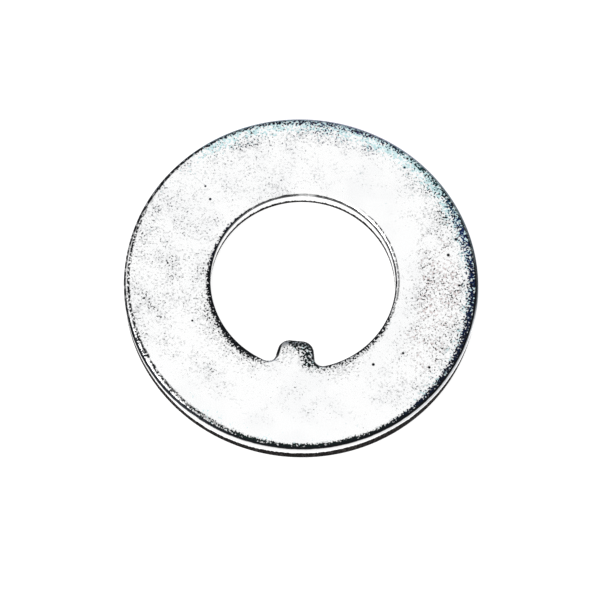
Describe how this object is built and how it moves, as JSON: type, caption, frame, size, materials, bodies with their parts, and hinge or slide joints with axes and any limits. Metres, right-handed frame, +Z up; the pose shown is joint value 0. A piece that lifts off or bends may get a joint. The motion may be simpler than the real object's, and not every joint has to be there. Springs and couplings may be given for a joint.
{
  "type": "tab lock washer",
  "caption": "Flat steel lock washer: a blanked ring whose single tab stands into the bore and keys into a slot along a threaded spindle.",
  "frame": {"origin": "middle of the rim, on the underside", "axes": "+Z up through the thickness, out of the face that the press rolled over; the tab reaches in from the -Y side of the bore; +X to the right"},
  "size_m": [0.05, 0.05, 0.0032],
  "materials": {
    "zinc_plate": "bright zinc plate over blanked steel strip, satin faces with fine dark pits and a faint blue tint"
  },
  "bodies": {
    "root": {"tab_washer": "zinc_plate"}
  },
  "joints": []
}
